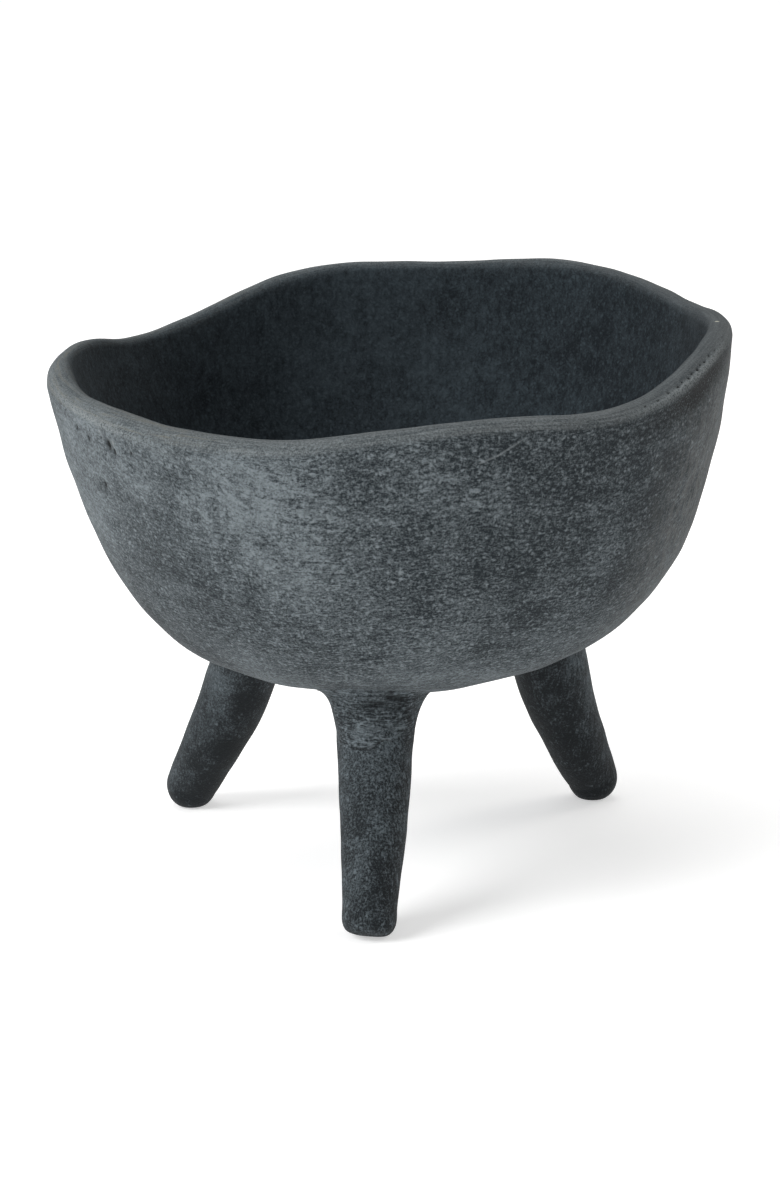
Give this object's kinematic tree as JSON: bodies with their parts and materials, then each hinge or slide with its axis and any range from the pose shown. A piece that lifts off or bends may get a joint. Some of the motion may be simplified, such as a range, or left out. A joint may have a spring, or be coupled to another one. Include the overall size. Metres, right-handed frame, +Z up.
{
  "type": "footed tripod bowl",
  "caption": "Hand-formed charcoal clay tripod bowl in the molcajete form, with a wavy thick rim on tapered splayed legs.",
  "frame": {"origin": "under the middle of the whole object's box, on the plane that the three feet stand on", "axes": "+Z up out of the bowl, the front leg towards -Y, the left leg towards -X and +Y, the right leg towards +X and +Y"},
  "size_m": [0.2, 0.1974, 0.1699],
  "materials": {
    "washed_clay": "unglazed charcoal clay, matte, with a thin pale wash rubbed over fine brushed grain",
    "dark_clay": "unglazed charcoal clay, matte, cloudy mottling",
    "joint_clay": "unglazed charcoal clay, matte, smoothed by hand"
  },
  "bodies": {
    "root": {"bowl": "washed_clay", "front_leg": "dark_clay", "left_leg": "dark_clay", "right_leg": "dark_clay", "front_joint_coil": "joint_clay", "left_joint_coil": "joint_clay", "right_joint_coil": "joint_clay"}
  },
  "joints": []
}
